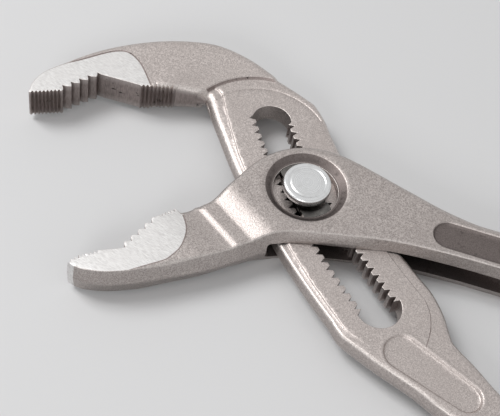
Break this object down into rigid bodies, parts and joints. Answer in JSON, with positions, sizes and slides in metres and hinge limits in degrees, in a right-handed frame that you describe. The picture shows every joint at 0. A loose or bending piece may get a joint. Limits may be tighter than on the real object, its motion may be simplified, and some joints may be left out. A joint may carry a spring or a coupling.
{
  "type": "water pump pliers",
  "caption": "Adjustable water pump pliers with toothed jaws, a slotted rack shank through a box joint, a push-button lock in the joint and two plastic grips.",
  "frame": {"origin": "on the hinge bolt's axis, at the rear face of the box joint, on which the tool lies", "axes": "+X along the tool from the jaws to the handles, +Y from the lower jaw to the box leg's handle, +Z out of the button's side"},
  "size_m": [0.2473, 0.114, 0.0129],
  "materials": {
    "forged_steel": "satin grey forged and tumbled steel with a fine grain, ground bright on the jaw flats",
    "bright_steel": "turned and polished bright steel",
    "spring_steel": "drawn spring wire and strip",
    "grip_plastic": "dipped charcoal plastic with a fine matt grain"
  },
  "bodies": {
    "slotted_leg": {"slotted_leg": "forged_steel", "slotted_leg_grip": "grip_plastic"},
    "pivot": {"hinge_bolt": "bright_steel", "bolt_cover": "bright_steel", "return_spring": "spring_steel"},
    "box_leg": {"box_leg": "forged_steel", "box_leg_grip": "grip_plastic", "retaining_ring": "spring_steel"},
    "button": {"push_button": "bright_steel", "push_pin": "bright_steel", "lock_bar": "bright_steel"}
  },
  "joints": [
    {"name": "jaw_adjust", "type": "hinge", "parent": "slotted_leg", "child": "pivot", "pos_m": [0.10291, 0.13657, 0.0056], "axis": [0, 0, 1], "range_deg": [-6.51, 10.86]},
    {"name": "jaw_pivot", "type": "hinge", "parent": "pivot", "child": "box_leg", "pos_m": [0, 0, 0.0056], "axis": [0, 0, 1], "range_deg": [-21, 2]},
    {"name": "button_press", "type": "slide", "parent": "pivot", "child": "button", "axis": [0, 0, 1], "range_m": [-0.0021, 0], "stiffness_N_per_m": 900, "springref_m": 0.004, "deforming": ["return_spring"]}
  ]
}
